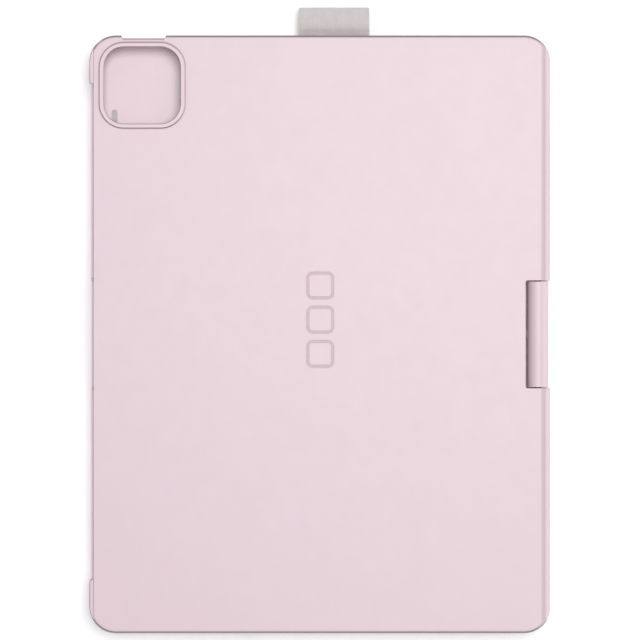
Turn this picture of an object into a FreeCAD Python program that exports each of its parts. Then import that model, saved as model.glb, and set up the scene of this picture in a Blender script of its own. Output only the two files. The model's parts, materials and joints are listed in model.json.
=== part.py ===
"""Tablet keyboard case, closed: a keyboard base and a tablet lid joined by one swivelling centre hinge.

Millimetres. +X is the typist's right, -Y the front edge, +Z up. z = 0 is the plane the feet stand on.
x = 0 is the middle of the whole case with its pen loop, so the case itself is centred a little to +X.
"""
import FreeCAD, Part
import math
import os
import re
from collections import namedtuple
import Sketcher

Vector = FreeCAD.Vector
MARGIN = 1.0          # how far a cut runs on past the faces that it opens
TOUCH = 0.01          # how near to a plane an edge lies to count as on it

SIZES = {
    # the whole case
    "case_length": 252.6, "case_depth": 194.9, "corner_radius": 11.2, "case_centre_x": 6.6,
    "foot_height": 0.8, "cover_top": 1.8, "deck_top": 7.0, "lid_bottom": 8.5, "lid_top": 17.1,
    # the tablet that the lid holds, and the walls around it
    "tablet_length": 247.6, "tablet_width": 178.5, "tablet_gap": 0.2, "front_wall": 2.0,
    "front_wall_drop": 0.5, "plate_thickness": 1.5, "lid_edge_round": 1.5, "lid_rim_round": 0.5,
    "pocket_corner": 9.0, "liner_thickness": 0.3, "liner_corner": 8.6,
    "front_opening": 210.3, "front_opening_x": -1.15,
    "lip_length": 12.0, "lip_depth": 1.1, "lip_height": 0.8, "lip_front_x": 115.0, "lip_rear_x": 105.0,
    "button_y": -74.5, "button_cut": 19.0, "button_dip": 1.4, "port_cut": 13.0, "port_cut_height": 5.0,
    "speaker_cut": 24.0, "speaker_cut_height": 2.6, "speaker_spread": 45.0, "side_cut_y": -6.0,
    # camera opening in the lid
    "camera_x": -105.05, "camera_y": -75.1, "camera_hole": 32.4, "camera_hole_corner": 8.5,
    "camera_ring": 36.2, "camera_ring_corner": 10.4, "camera_ring_height": 0.5,
    "camera_groove": 0.45, "camera_groove_depth": 0.35,
    # plain mark pressed into the lid: a row of square outlines
    "mark_size": 12.0, "mark_pitch": 14.4, "mark_stroke": 1.5, "mark_depth": 0.6, "mark_x": -6.1,
    # centre hinge
    "hinge_inset": 5.25, "notch_length": 45.6, "notch_depth": 10.7, "barrel_length": 44.5,
    "barrel_radius": 4.32, "barrel_bore": 3.4, "barrel_end": 1.5, "core_radius": 3.2, "core_length": 28.0,
    "axle_radius": 1.5, "axle_fit": 0.05, "axle_reach": 12.0, "ear_length": 16.0, "ear_radius": 2.6,
    "clip_radius": 3.1, "clip_length": 5.6, "clip_slit": 1.0,
    "post_radius": 3.0, "post_fit": 0.05, "post_bottom": 2.1, "collar_radius": 4.3, "collar_bottom": 7.6,
    "collar_top": 8.4, "bushing_radius": 4.1, "boss_bottom": 4.0, "washer_radius": 4.5,
    "groove_bottom": 2.25, "groove_top": 2.75, "groove_radius": 2.4, "ring_clip_radius": 3.8,
    "bracket_length": 36.0, "bracket_width": 9.0, "bracket_thickness": 0.9, "bracket_shift": -0.8,
    "bracket_screw_spread": 28.0,
    # keyboard
    "key_pitch": 17.0, "key_space": 2.0, "key_units": 14.2, "function_pitch": 10.0, "keyboard_rear": 83.5,
    "key_top": 7.1, "key_bottom": 5.1, "key_wall": 0.9, "key_corner": 1.8, "key_edge": 0.3, "key_gap": 0.4,
    "half_key_split": 0.6, "well_floor": 6.2, "well_margin": 1.0, "well_ceiling": 5.4, "well_corner": 3.0,
    "chamber_ledge": 2.0, "ledge_bottom": 2.9, "support_thickness": 0.4, "membrane_thickness": 0.3,
    "sheet_corner": 2.8, "scissor_length": 9.0, "scissor_width": 6.6, "scissor_rim": 1.1,
    "scissor_thickness": 0.5, "dome_radius": 2.0, "dome_height": 1.5,
    # palm rest
    "deck_edge_round": 1.0, "cover_edge_round": 0.6, "palm_chamber_length": 244.0, "palm_front": -92.0,
    "palm_rear": -18.5, "palm_ceiling": 5.8, "palm_corner": 4.0, "thumb_length": 48.5, "thumb_slope": 2.0,
    "thumb_depth": 2.6, "thumb_height": 3.0, "trackpad_length": 105.0, "trackpad_width": 60.0,
    "trackpad_y": -54.0, "trackpad_gap": 0.4, "trackpad_corner": 3.0, "trackpad_top": 6.95,
    "trackpad_thickness": 0.75, "trackpad_board_thickness": 0.7, "bracket_strip_bottom": 2.6,
    "bracket_strip_top": 3.4, "bumper_length": 36.0, "bumper_width": 2.3, "bumper_height": 0.6,
    "bumper_x": 77.7, "bumper_y": -87.6, "foot_length": 44.0, "foot_width": 7.0,
    # screws of the lower cover
    "cover_screw_radius": 0.8, "cover_head_radius": 1.9, "cover_head_depth": 0.55,
    # electrics
    "board_top": 2.8, "board_thickness": 0.8, "board_x": 94.0, "board_y": -46.0, "board_length": 50.0,
    "board_width": 54.0, "port_y": -32.0, "port_centre_z": 4.25, "port_width": 9.0, "port_height": 2.9,
    "port_reach": 7.4, "port_rim": 0.7, "switch_y": -60.0, "switch_travel": 3.0, "battery_x": -90.0,
    "battery_y": -56.0, "battery_length": 56.0, "battery_width": 58.0, "battery_top": 5.2, "cable_x": 86.0,
    "cable_y": -23.0, "cable_length": 20.0, "cable_width": 12.0, "light_x": 104.0, "light_y": 90.5,
    "light_length": 6.0, "light_width": 1.6, "light_depth": 2.0, "magnet_x": 52.0, "magnet_y": -89.0,
    "magnet_bottom": 3.8, "magnet_top": 5.75,
    # pen loop on the left side
    "loop_reach": 13.2, "loop_width": 29.9, "loop_y": 6.1, "loop_bottom": 0.25, "loop_top": 7.85,
    "loop_corner": 3.6, "loop_thickness": 1.0, "loop_tail": 3.4, "loop_tail_bottom": 3.1,
    "loop_tail_thickness": 1.6,
}

# A run of equal keys: node name, row from the rear, where it starts, width in key units, how many.
Run = namedtuple("Run", "node row start units count")
KEY_RUNS = [
    Run("keys_function_row", 0, 0.0, 14.2 / 14, 14),
    Run("keys_number_row", 1, 0.0, 1.0, 13),
    Run("key_delete", 1, 13.0, 1.2, 1),
    Run("key_tab", 2, 0.0, 1.2, 1),
    Run("keys_upper_letter_row", 2, 1.2, 1.0, 13),
    Run("key_caps", 3, 0.0, 1.45, 1),
    Run("keys_home_letter_row", 3, 1.45, 1.0, 11),
    Run("key_enter", 3, 12.45, 1.75, 1),
    Run("key_shift_left", 4, 0.0, 2.0, 1),
    Run("keys_lower_letter_row", 4, 2.0, 1.0, 10),
    Run("key_shift_right", 4, 12.0, 2.2, 1),
    Run("key_fn", 5, 0.0, 1.0, 1),
    Run("key_control", 5, 1.0, 1.0, 1),
    Run("key_alt_left", 5, 2.0, 1.0, 1),
    Run("key_command_left", 5, 3.0, 1.2, 1),
    Run("key_space", 5, 4.2, 4.8, 1),
    Run("key_command_right", 5, 9.0, 1.2, 1),
    Run("key_alt_right", 5, 10.2, 1.0, 1),
    Run("key_arrow_left", 5, 11.2, 1.0, 1),
    Run("key_arrow_up", 5, 12.2, 1.0, 1),
    Run("key_arrow_down", 5, 12.2, 1.0, 1),
    Run("key_arrow_right", 5, 13.2, 1.0, 1),
]
HALF_HEIGHT = {"key_arrow_up": 1, "key_arrow_down": -1}      # which half of the cell the key fills
COVER_SCREWS = [(-100, -94.7), (100, -94.7), (-118, 91.5), (118, 91.5), (-60, 91.5), (60, 91.5)]
FEET = [(-92, -84), (92, -84), (-92, 84), (92, 84)]
MEMBRANE_TOP = "(ledge_bottom + membrane_thickness)"

doc = FreeCAD.newDocument("TabletKeyboardCase")
nodes = []


# ---------------------------------------------------------------- sheet and formulas

def make_sheet():
    """Puts every driving size in its own named cell."""
    sheet = doc.addObject("Spreadsheet::Sheet", "Sizes")
    for row, (alias, value) in enumerate(SIZES.items(), start=1):
        sheet.set("A%d" % row, alias)
        sheet.set("B%d" % row, str(value))
        sheet.setAlias("B%d" % row, alias)
    doc.recompute()
    return sheet


def formula(rule):
    """Turns a rule such as 'deck_top - key_wall' into an expression on the sheet's cells."""
    def cell(word):
        return "Sizes." + word.group(0) if word.group(0) in SIZES else word.group(0)
    return re.sub(r"[a-z_]+", cell, str(rule))


def value(rule):
    """The number that a rule gives."""
    return float(sheet.evalExpression(formula(rule)))


# ---------------------------------------------------------------- sketch outlines

def name_distance(sketch, name, rule, kind, *points):
    """Adds a dimension and binds it to the sheet."""
    index = sketch.addConstraint(Sketcher.Constraint(kind, *points, value(rule)))
    sketch.renameConstraint(index, name)
    sketch.setExpression("Constraints." + name, formula(rule))


def add_rounded(sketch, length, width, radius, prefix):
    """Draws one rounded rectangle centred on the sketch's origin."""
    half_x, half_y, corner = value(length) / 2, value(width) / 2, value(radius)
    inner_x, inner_y = half_x - corner, half_y - corner
    segments = [
        (Vector(-inner_x, -half_y, 0), Vector(inner_x, -half_y, 0)),
        (Vector(half_x, -inner_y, 0), Vector(half_x, inner_y, 0)),
        (Vector(inner_x, half_y, 0), Vector(-inner_x, half_y, 0)),
        (Vector(-half_x, inner_y, 0), Vector(-half_x, -inner_y, 0)),
    ]
    corners = [(inner_x, -inner_y), (inner_x, inner_y), (-inner_x, inner_y), (-inner_x, -inner_y)]
    lines = [sketch.addGeometry(Part.LineSegment(*ends)) for ends in segments]
    arcs = []
    for index, (x, y) in enumerate(corners):
        circle = Part.Circle(Vector(x, y, 0), Vector(0, 0, 1), corner)
        start = (index - 1) * math.pi / 2
        arcs.append(sketch.addGeometry(Part.ArcOfCircle(circle, start, start + math.pi / 2)))
    for index in range(4):
        sketch.addConstraint(Sketcher.Constraint("Tangent", lines[index], 2, arcs[index], 1))
        sketch.addConstraint(Sketcher.Constraint("Tangent", arcs[index], 2, lines[(index + 1) % 4], 1))
    for index in (0, 2):
        sketch.addConstraint(Sketcher.Constraint("Horizontal", lines[index]))
        sketch.addConstraint(Sketcher.Constraint("Vertical", lines[index + 1]))
    for arc in arcs[1:]:
        sketch.addConstraint(Sketcher.Constraint("Equal", arcs[0], arc))
    sketch.addConstraint(Sketcher.Constraint("Symmetric", arcs[0], 3, arcs[2], 3, -1, 1))
    name_distance(sketch, prefix + "corner", radius, "Radius", arcs[0])
    run_x, run_y = ["%s - 2 * (%s)" % (side, radius) for side in (length, width)]
    name_distance(sketch, prefix + "run_x", run_x, "DistanceX", lines[0], 1, lines[0], 2)
    name_distance(sketch, prefix + "run_y", run_y, "DistanceY", lines[1], 1, lines[1], 2)


def rounded(length, width, radius):
    """A rounded rectangle."""
    def draw(sketch):
        add_rounded(sketch, length, width, radius, "outer_")
    return draw


def frame_outline(length, width, radius, rim):
    """A rounded rectangle with a smaller one inside it, so that only the rim is filled."""
    def draw(sketch):
        add_rounded(sketch, length, width, radius, "outer_")
        inner_length, inner_width = ["%s - 2 * (%s)" % (side, rim) for side in (length, width)]
        add_rounded(sketch, inner_length, inner_width, "0.4 * (%s)" % radius, "inner_")
    return draw


def disc(radius):
    """A full circle."""
    def draw(sketch):
        circle = sketch.addGeometry(Part.Circle(Vector(0, 0, 0), Vector(0, 0, 1), value(radius)))
        sketch.addConstraint(Sketcher.Constraint("Coincident", circle, 3, -1, 1))
        name_distance(sketch, "radius", radius, "Radius", circle)
    return draw


def washer_outline(radius, bore):
    """Two circles on one centre."""
    def draw(sketch):
        for name, size in (("radius", radius), ("bore", bore)):
            circle = sketch.addGeometry(Part.Circle(Vector(0, 0, 0), Vector(0, 0, 1), value(size)))
            sketch.addConstraint(Sketcher.Constraint("Coincident", circle, 3, -1, 1))
            name_distance(sketch, name, size, "Radius", circle)
    return draw


def close_loop(sketch, edges):
    """Joins each edge's end to the next edge's start."""
    for index, edge in enumerate(edges):
        following = edges[(index + 1) % len(edges)]
        sketch.addConstraint(Sketcher.Constraint("Coincident", edge, 2, following, 1))


def trapezoid(length, height, slope):
    """A trapezoid hanging from the sketch's x axis: length at the top, narrower at the bottom."""
    def draw(sketch):
        half, drop = value(length) / 2, value(height)
        low_half = half - value(slope)
        outline = [(-half, 0), (-low_half, -drop), (low_half, -drop), (half, 0)]
        corners = [Vector(x, y, 0) for x, y in outline]
        edges = [sketch.addGeometry(Part.LineSegment(corners[i], corners[(i + 1) % 4])) for i in range(4)]
        close_loop(sketch, edges)
        sketch.addConstraint(Sketcher.Constraint("Symmetric", edges[3], 2, edges[3], 1, -1, 1))
        sketch.addConstraint(Sketcher.Constraint("Symmetric", edges[1], 1, edges[1], 2, -2))
        sketch.addConstraint(Sketcher.Constraint("Horizontal", edges[3]))
        name_distance(sketch, "length", length, "DistanceX", edges[3], 2, edges[3], 1)
        name_distance(sketch, "height", height, "DistanceY", edges[0], 2, edges[0], 1)
        name_distance(sketch, "slope", slope, "DistanceX", edges[0], 1, edges[0], 2)
    return draw


def outside_half_round(radius, overrun):
    """What a half circle leaves of its square end: the waste of a full-round edge."""
    def draw(sketch):
        size, past = value(radius), value(radius) + value(overrun)
        corners = [Vector(0, size, 0), Vector(past, size, 0), Vector(past, -size, 0), Vector(0, -size, 0)]
        edges = [sketch.addGeometry(Part.LineSegment(corners[i], corners[i + 1])) for i in range(3)]
        circle = Part.Circle(Vector(0, 0, 0), Vector(0, 0, 1), size)
        arc = sketch.addGeometry(Part.ArcOfCircle(circle, -math.pi / 2, math.pi / 2))
        close_loop(sketch, edges + [arc])
        sketch.addConstraint(Sketcher.Constraint("Coincident", arc, 3, -1, 1))
        sketch.addConstraint(Sketcher.Constraint("Horizontal", edges[0]))
        sketch.addConstraint(Sketcher.Constraint("Vertical", edges[1]))
        sketch.addConstraint(Sketcher.Constraint("Horizontal", edges[2]))
        sketch.addConstraint(Sketcher.Constraint("PointOnObject", arc, 1, -2))
        name_distance(sketch, "radius", radius, "Radius", arc)
        name_distance(sketch, "reach", "%s + %s" % (radius, overrun), "DistanceX", edges[0], 1, edges[0], 2)
    return draw


# ---------------------------------------------------------------- bodies and features

def new_body(label, place=("case_centre_x", 0, 0), kept=True):
    """A body placed in the case by three rules. It is a sub-part of its own unless kept is false."""
    body = doc.addObject("PartDesign::Body", label)
    body.Label = label
    for letter, rule in zip("xyz", place):
        body.setExpression(".Placement.Base." + letter, formula(rule))
    if kept:
        nodes.append(body)
    return body


def origin_feature(body, role):
    """One of the body's own origin planes or axes."""
    return [item for item in body.Origin.OriginFeatures if item.Role == role][0]


def new_sketch(body, outline, low, high, at, axis):
    """A sketch at one end of the stretch from low to high along an axis."""
    role, start = {"Z": ("XY_Plane", low), "X": ("YZ_Plane", low), "Y": ("XZ_Plane", "-(%s)" % high)}[axis]
    sketch = body.newObject("Sketcher::SketchObject", "Outline")
    sketch.AttachmentSupport = [(origin_feature(body, role), "")]
    sketch.MapMode = "FlatFace"
    for letter, rule in zip("xyz", (at[0], at[1], start)):
        sketch.setExpression(".AttachmentOffset.Base." + letter, formula(rule))
    outline(sketch)
    return sketch


def add(body, outline, low, high, at=(0, 0), axis="Z"):
    """Pads an outline from low to high along an axis."""
    sketch = new_sketch(body, outline, low, high, at, axis)
    pad = body.newObject("PartDesign::Pad", "Pad")
    pad.Profile = sketch
    pad.setExpression("Length", formula("(%s) - (%s)" % (high, low)))
    doc.recompute()
    return pad


def cut(body, outline, low, high, at=(0, 0), axis="Z"):
    """Pockets an outline from low to high along an axis, and makes sure that it removed something."""
    before = body.Shape.Volume
    sketch = new_sketch(body, outline, low, high, at, axis)
    pocket = body.newObject("PartDesign::Pocket", "Pocket")
    pocket.Profile = sketch
    pocket.Reversed = True
    pocket.setExpression("Length", formula("(%s) - (%s)" % (high, low)))
    doc.recompute()
    if body.Shape.Volume > before - 1e-3:
        raise RuntimeError("%s: a pocket cuts nothing" % body.Label)
    return pocket


def repeat(body, features, axis, spacing, count):
    """Repeats features along one of the body's axes."""
    if count < 2:
        return None
    pattern = body.newObject("PartDesign::LinearPattern", "Row")
    pattern.Originals = features
    pattern.Direction = (origin_feature(body, axis + "_Axis"), [""])
    pattern.Mode = "Spacing"
    pattern.setExpression("Offset", formula(spacing))
    pattern.Occurrences = count
    body.Tip = pattern
    doc.recompute()
    return pattern


def repeat_whole(body, axis, spacing, count):
    """Repeats the whole body along one of its axes, as separate solids."""
    pattern = repeat(body, [], axis, spacing, count)
    if pattern:
        pattern.TransformMode = "Whole shape"
        doc.recompute()


def edge_names(shape, wanted):
    """Names of the edges that a test picks."""
    return ["Edge%d" % number for number, edge in enumerate(shape.Edges, start=1) if wanted(edge)]


def round_edges(body, radius, wanted):
    """Rounds the body's edges that a test picks."""
    base = body.Tip
    fillet = body.newObject("PartDesign::Fillet", "Fillet")
    fillet.Base = (base, edge_names(base.Shape, wanted))
    fillet.setExpression("Radius", formula(radius))
    doc.recompute()
    return fillet


def at_height(rule):
    """Picks edges that lie at one height, in the body's own frame."""
    height = value(rule)

    def wanted(edge):
        box = edge.BoundBox
        return abs(box.ZMin - height) < TOUCH and abs(box.ZMax - height) < TOUCH
    return wanted


# ---------------------------------------------------------------- keyboard layout

def run_cell(run):
    """Rules for a run's first key: centre x, centre y, cell width and key depth."""
    centre_x = "(%r - key_units / 2) * key_pitch" % (run.start + run.units / 2)
    pitch = "%r * key_pitch" % run.units
    if run.row == 0:
        return centre_x, "keyboard_rear - function_pitch / 2", pitch, "function_pitch - key_space"
    centre_y = "keyboard_rear - function_pitch - (%r) * key_pitch" % (run.row - 0.5)
    depth = "key_pitch - key_space"
    if run.node in HALF_HEIGHT:
        centre_y += " + (%d) * (key_pitch - key_space + half_key_split) / 4" % HALF_HEIGHT[run.node]
        depth = "(key_pitch - key_space - half_key_split) / 2"
    return centre_x, centre_y, pitch, depth


def run_body(run, label, kept=True):
    """A body at the centre of a run's first key."""
    centre_x, centre_y = run_cell(run)[:2]
    return new_body(label, ("case_centre_x + " + centre_x, centre_y, 0), kept)


def make_keys(run):
    """One run of equal key caps, hollow underneath."""
    pitch, depth = run_cell(run)[2:]
    width = "%s - key_space" % pitch
    body = run_body(run, run.node)
    add(body, rounded(width, depth, "key_corner"), "key_bottom", "key_top")
    round_edges(body, "key_edge", at_height("key_top"))
    inner = rounded("%s - 2 * key_wall" % width, "%s - 2 * key_wall" % depth, "key_corner - 0.8")
    cut(body, inner, "key_bottom", "key_top - key_wall")
    repeat_whole(body, "X", pitch, run.count)


def under_every_key(label, outline_for, low, high):
    """One piece at every key, made as a small body per run of keys and gathered in a compound."""
    pieces = []
    for run in KEY_RUNS:
        pitch, depth = run_cell(run)[2:]
        body = run_body(run, "%s_of_%s" % (label, run.node), kept=False)
        add(body, outline_for(pitch, depth), low, high)
        repeat_whole(body, "X", pitch, run.count)
        pieces.append(body)
    gathered = doc.addObject("Part::Compound", label)
    gathered.Label = label
    gathered.Links = pieces
    doc.recompute()
    return gathered


def opening_outline(pitch, depth):
    """The opening in the deck that a key moves in."""
    width = "%s - key_space + 2 * key_gap" % pitch
    return rounded(width, "%s + 2 * key_gap" % depth, "key_corner + key_gap / 2")


def scissor_outline(pitch, depth):
    """The folded lever frame under a key."""
    width = "min(scissor_width; %s - 3.2)" % depth
    return frame_outline("scissor_length", width, "1", "scissor_rim * min(1; (%s) / 10)" % depth)


def dome_outline(pitch, depth):
    """The rubber dome under a key, smaller under a shallow key."""
    return disc("dome_radius * min(1; (%s) / 13)" % depth)


# ---------------------------------------------------------------- base, seen parts

KEYBOARD_Y = "keyboard_rear - (5 * key_pitch + function_pitch) / 2"
WELL_LENGTH = "key_units * key_pitch + 2 * well_margin"
WELL_DEPTH = "5 * key_pitch + function_pitch + 2 * well_margin"
BELOW_DECK = "cover_top - %r" % MARGIN
ABOVE_DECK = "deck_top + %r" % MARGIN


def make_base_deck():
    """Upper shell of the keyboard base: palm rest, key well, openings, ledges and bosses."""
    body = new_body("deck_without_key_openings", kept=False)
    add(body, rounded("case_length", "case_depth", "corner_radius"), "cover_top", "deck_top")
    round_edges(body, "deck_edge_round", at_height("deck_top"))
    well = rounded(WELL_LENGTH, WELL_DEPTH, "well_corner")
    cut(body, well, "well_floor", ABOVE_DECK, (0, KEYBOARD_Y))
    cut(body, well, BELOW_DECK, "well_ceiling", (0, KEYBOARD_Y))
    ledge = rounded(WELL_LENGTH + " + 2 * chamber_ledge", WELL_DEPTH + " + 2 * chamber_ledge", "well_corner")
    cut(body, ledge, BELOW_DECK, "ledge_bottom", (0, KEYBOARD_Y))
    palm = rounded("palm_chamber_length", "palm_rear - palm_front", "palm_corner")
    cut(body, palm, BELOW_DECK, "palm_ceiling", (0, "(palm_rear + palm_front) / 2"))
    trackpad = rounded("trackpad_length + 2 * trackpad_gap", "trackpad_width + 2 * trackpad_gap",
                       "trackpad_corner + trackpad_gap")
    cut(body, trackpad, "palm_ceiling - %r" % MARGIN, ABOVE_DECK, (0, "trackpad_y"))
    thumb = trapezoid("thumb_length", "thumb_height", "thumb_slope")
    cut(body, thumb, "-case_depth / 2 - %r" % MARGIN, "-case_depth / 2 + thumb_depth", (0, "deck_top"), "Y")
    cut_hinge_seat(body)
    cut_side_openings(body)
    for x, y in COVER_SCREWS:
        cut(body, disc("cover_screw_radius"), BELOW_DECK, "cover_top + 1.8", (x, y))
    openings = under_every_key("key_openings", opening_outline, "well_ceiling - %r" % MARGIN,
                               "well_floor + %r" % MARGIN)
    deck = doc.addObject("Part::Cut", "base_deck")
    deck.Label = "base_deck"
    deck.Base = body
    deck.Tool = openings
    doc.recompute()
    nodes.append(deck)


def cut_hinge_seat(body):
    """Room for the hinge's bracket plate, its bushing and its screws."""
    hinge_y = "case_depth / 2 - hinge_inset"
    seat = rounded("bracket_length + 4", "bracket_width + 1.4", "1")
    screw_y = hinge_y + " + bracket_shift"
    cut(body, seat, BELOW_DECK, "boss_bottom", (0, screw_y))
    cut(body, disc("bushing_radius"), "boss_bottom - %r" % MARGIN, ABOVE_DECK, (0, hinge_y))
    hole = cut(body, disc("0.7"), "boss_bottom - %r" % MARGIN, "boss_bottom + 2",
               ("-bracket_screw_spread / 2", screw_y))
    repeat(body, [hole], "X", "bracket_screw_spread", 2)


def cut_side_openings(body):
    """Openings for the charging socket, the power switch, the pen loop, the cable and the light."""
    side = "case_length / 2"
    past = side + " + %r" % MARGIN
    socket = rounded("port_width + 0.4", "port_height + 0.4", "1.5")
    cut(body, socket, "palm_chamber_length / 2 - %r" % MARGIN, past, ("port_y", "port_centre_z"), "X")
    cut(body, rounded("12", "3", "1.4"), side + " - 1", past, ("switch_y", "port_centre_z"), "X")
    cut(body, rounded("7.6", "2", "0.8"), "palm_chamber_length / 2 - %r" % MARGIN, past,
        ("switch_y", "port_centre_z"), "X")
    tail = rounded("loop_width + 0.1", "loop_tail_thickness + 0.1", "0.1")
    cut(body, tail, "-%s - %r" % (side, MARGIN), "-%s + loop_tail + 0.1" % side,
        ("loop_y", "loop_tail_bottom + loop_tail_thickness / 2"), "X")
    cable = rounded("cable_width + 3", "8", "0.5")
    cut(body, cable, BELOW_DECK, "board_top + 0.8", ("cable_x", "palm_rear + 3"))
    light = rounded("light_length", "light_width", "light_width / 2 - 0.01")
    cut(body, light, "deck_top - light_depth", ABOVE_DECK, ("light_x", "light_y"))


def make_bottom_cover():
    """Flat lower cover with countersunk screw holes."""
    body = new_body("base_bottom_cover")
    add(body, rounded("case_length", "case_depth", "corner_radius"), "foot_height", "cover_top")
    round_edges(body, "cover_edge_round", at_height("foot_height"))
    below = "foot_height - %r" % MARGIN
    for x, y in COVER_SCREWS:
        cut(body, disc("cover_screw_radius + 0.2"), below, "cover_top + %r" % MARGIN, (x, y))
        cut(body, disc("cover_head_radius"), below, "foot_height + cover_head_depth", (x, y))


def make_cover_screws():
    """Small flat-headed screws through the lower cover."""
    body = new_body("cover_screws")
    head_top = "foot_height + cover_head_depth"
    for x, y in COVER_SCREWS:
        add(body, disc("cover_head_radius - 0.1"), "foot_height + 0.05", head_top, (x, y))
        add(body, disc("cover_screw_radius - 0.02"), head_top + " - 0.05", "cover_top + 1.7", (x, y))
        for length, width in (("0.4", "2.2"), ("2.2", "0.4")):
            cut(body, rounded(length, width, "0.15"), "foot_height", "foot_height + 0.3", (x, y))


def make_feet():
    """Four long rubber feet."""
    body = new_body("rubber_feet")
    for x, y in FEET:
        add(body, rounded("foot_length", "foot_width", "foot_width / 2 - 0.1"), 0, "foot_height", (x, y))
    round_edges(body, "0.3", at_height(0))


def make_bumper_strips():
    """Two rubber strips on the palm rest that keep the lid off the deck."""
    body = new_body("bumper_strips")
    for side in (-1, 1):
        add(body, rounded("bumper_length", "bumper_width", "bumper_width / 2 - 0.02"), "deck_top",
            "deck_top + bumper_height", ("%d * bumper_x" % side, "bumper_y"))
    round_edges(body, "0.25", at_height("deck_top + bumper_height"))


def make_pen_loop():
    """Elastic loop on the left side, an oval tube whose tail is held in the base's side wall."""
    side = "-case_length / 2"
    height = "loop_top - loop_bottom"
    length = "loop_reach - 0.1"
    body = new_body("pen_loop")
    low, high = "loop_y - loop_width / 2", "loop_y + loop_width / 2"
    centre = ("%s - loop_reach / 2 - 0.05" % side, "(loop_top + loop_bottom) / 2")
    add(body, rounded(length, height, "loop_corner"), low, high, centre, "Y")
    inner = rounded(length + " - 2 * loop_thickness", height + " - 2 * loop_thickness",
                    "loop_corner - loop_thickness")
    cut(body, inner, low + " - %r" % MARGIN, high + " + %r" % MARGIN, centre, "Y")
    add(body, rounded("loop_tail + 0.6", "loop_tail_thickness", "0.3"), low, high,
        ("%s + loop_tail / 2 - 0.3" % side, "loop_tail_bottom + loop_tail_thickness / 2"), "Y")


# ---------------------------------------------------------------- base, inside

def make_key_mechanism():
    """Support plate, membrane, lever frames and rubber domes under the keys."""
    plate = rounded(WELL_LENGTH + " + 2 * chamber_ledge - 0.4", WELL_DEPTH + " + 2 * chamber_ledge - 0.4",
                    "sheet_corner")
    add(new_body("key_support_plate"), plate, "ledge_bottom - support_thickness", "ledge_bottom",
        (0, KEYBOARD_Y))
    membrane = rounded(WELL_LENGTH + " - 0.4", WELL_DEPTH + " - 0.4", "sheet_corner")
    add(new_body("key_membrane"), membrane, "ledge_bottom", MEMBRANE_TOP, (0, KEYBOARD_Y))
    for label, outline_for, height in (("key_scissors", scissor_outline, "scissor_thickness"),
                                       ("key_domes", dome_outline, "dome_height")):
        top = "%s + %s" % (MEMBRANE_TOP, height)
        nodes.append(under_every_key(label, outline_for, MEMBRANE_TOP, top))


def make_electronics():
    """Circuit board, battery, cable, status light and magnets."""
    board_bottom = "board_top - board_thickness"
    board = rounded("board_length", "board_width", "1.5")
    add(new_body("main_circuit_board"), board, board_bottom, "board_top", ("board_x", "board_y"))
    body = new_body("battery_pack")
    battery = rounded("battery_length", "battery_width", "2")
    add(body, battery, board_bottom, "battery_top", ("battery_x", "battery_y"))
    round_edges(body, "0.8", at_height("battery_top"))
    cable = rounded("cable_width", "cable_length", "0.5")
    add(new_body("flat_cable"), cable, "board_top + 0.15", "board_top + 0.35", ("cable_x", "cable_y"))
    light = rounded("light_length - 0.04", "light_width - 0.04", "light_width / 2 - 0.03")
    add(new_body("status_light_window"), light, "deck_top - light_depth", "deck_top - 0.05",
        ("light_x", "light_y"))
    body = new_body("closing_magnets")
    for side in (-1, 1):
        at = ("%d * magnet_x" % side, "magnet_y")
        add(body, rounded("14", "4", "0.5"), "magnet_bottom", "magnet_top", at)


def make_charging_socket():
    """Oval metal socket with a tongue in its mouth."""
    body = new_body("charging_socket")
    at = ("port_y", "board_top + port_height / 2")
    mouth_end = "case_length / 2 - 0.4"
    add(body, rounded("port_width", "port_height", "1.35"), mouth_end + " - port_reach", mouth_end, at, "X")
    mouth = frame_outline("port_width - 0.6", "port_height - 0.6", "1.05", "port_rim")
    cut(body, mouth, mouth_end + " - 6", "case_length / 2", at, "X")


def make_power_switch():
    """Switch housing inside the base and the slider that shows in the side wall."""
    wall_inside = "palm_chamber_length / 2"
    body = new_body("power_switch_housing")
    add(body, rounded("9", "2.6", "0.3"), wall_inside + " - 5", wall_inside + " - 0.9",
        ("switch_y", "board_top + 1.3"), "X")
    body = new_body("power_switch_slider")
    at = ("switch_y - switch_travel / 2", "port_centre_z")
    add(body, rounded("3.6", "1.4", "0.3"), wall_inside + " - 0.5", "case_length / 2 - 0.6", at, "X")
    add(body, rounded("4.4", "2.2", "0.6"), "case_length / 2 - 0.7", "case_length / 2 - 0.1", at, "X")


def make_trackpad():
    """Trackpad surface with its board, and the strip and click switch under it."""
    body = new_body("trackpad_surface")
    low = "trackpad_top - trackpad_thickness"
    surface = rounded("trackpad_length", "trackpad_width", "trackpad_corner")
    add(body, surface, low, "trackpad_top", (0, "trackpad_y"))
    round_edges(body, "0.2", at_height("trackpad_top"))
    board = rounded("trackpad_length - 3", "trackpad_width - 3", "trackpad_corner / 2")
    add(new_body("trackpad_board"), board, low + " - trackpad_board_thickness", low, (0, "trackpad_y"))
    strip = rounded("24", "trackpad_width + 6", "1")
    add(new_body("trackpad_bracket"), strip, "bracket_strip_bottom", "bracket_strip_top",
        (0, "trackpad_y - 1"))
    body = new_body("trackpad_switch")
    at = (0, "trackpad_y - trackpad_width / 2 + 7")
    add(body, rounded("6", "6", "0.5"), "bracket_strip_top", "bracket_strip_top + 1", at)
    add(body, disc("1.5"), "bracket_strip_top + 0.9", "bracket_strip_top + 1.3", at)


# ---------------------------------------------------------------- hinge

HINGE = ("case_centre_x", "case_depth / 2 - hinge_inset", 0)
AXIS_Z = "(lid_bottom + lid_top) / 2"


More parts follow.
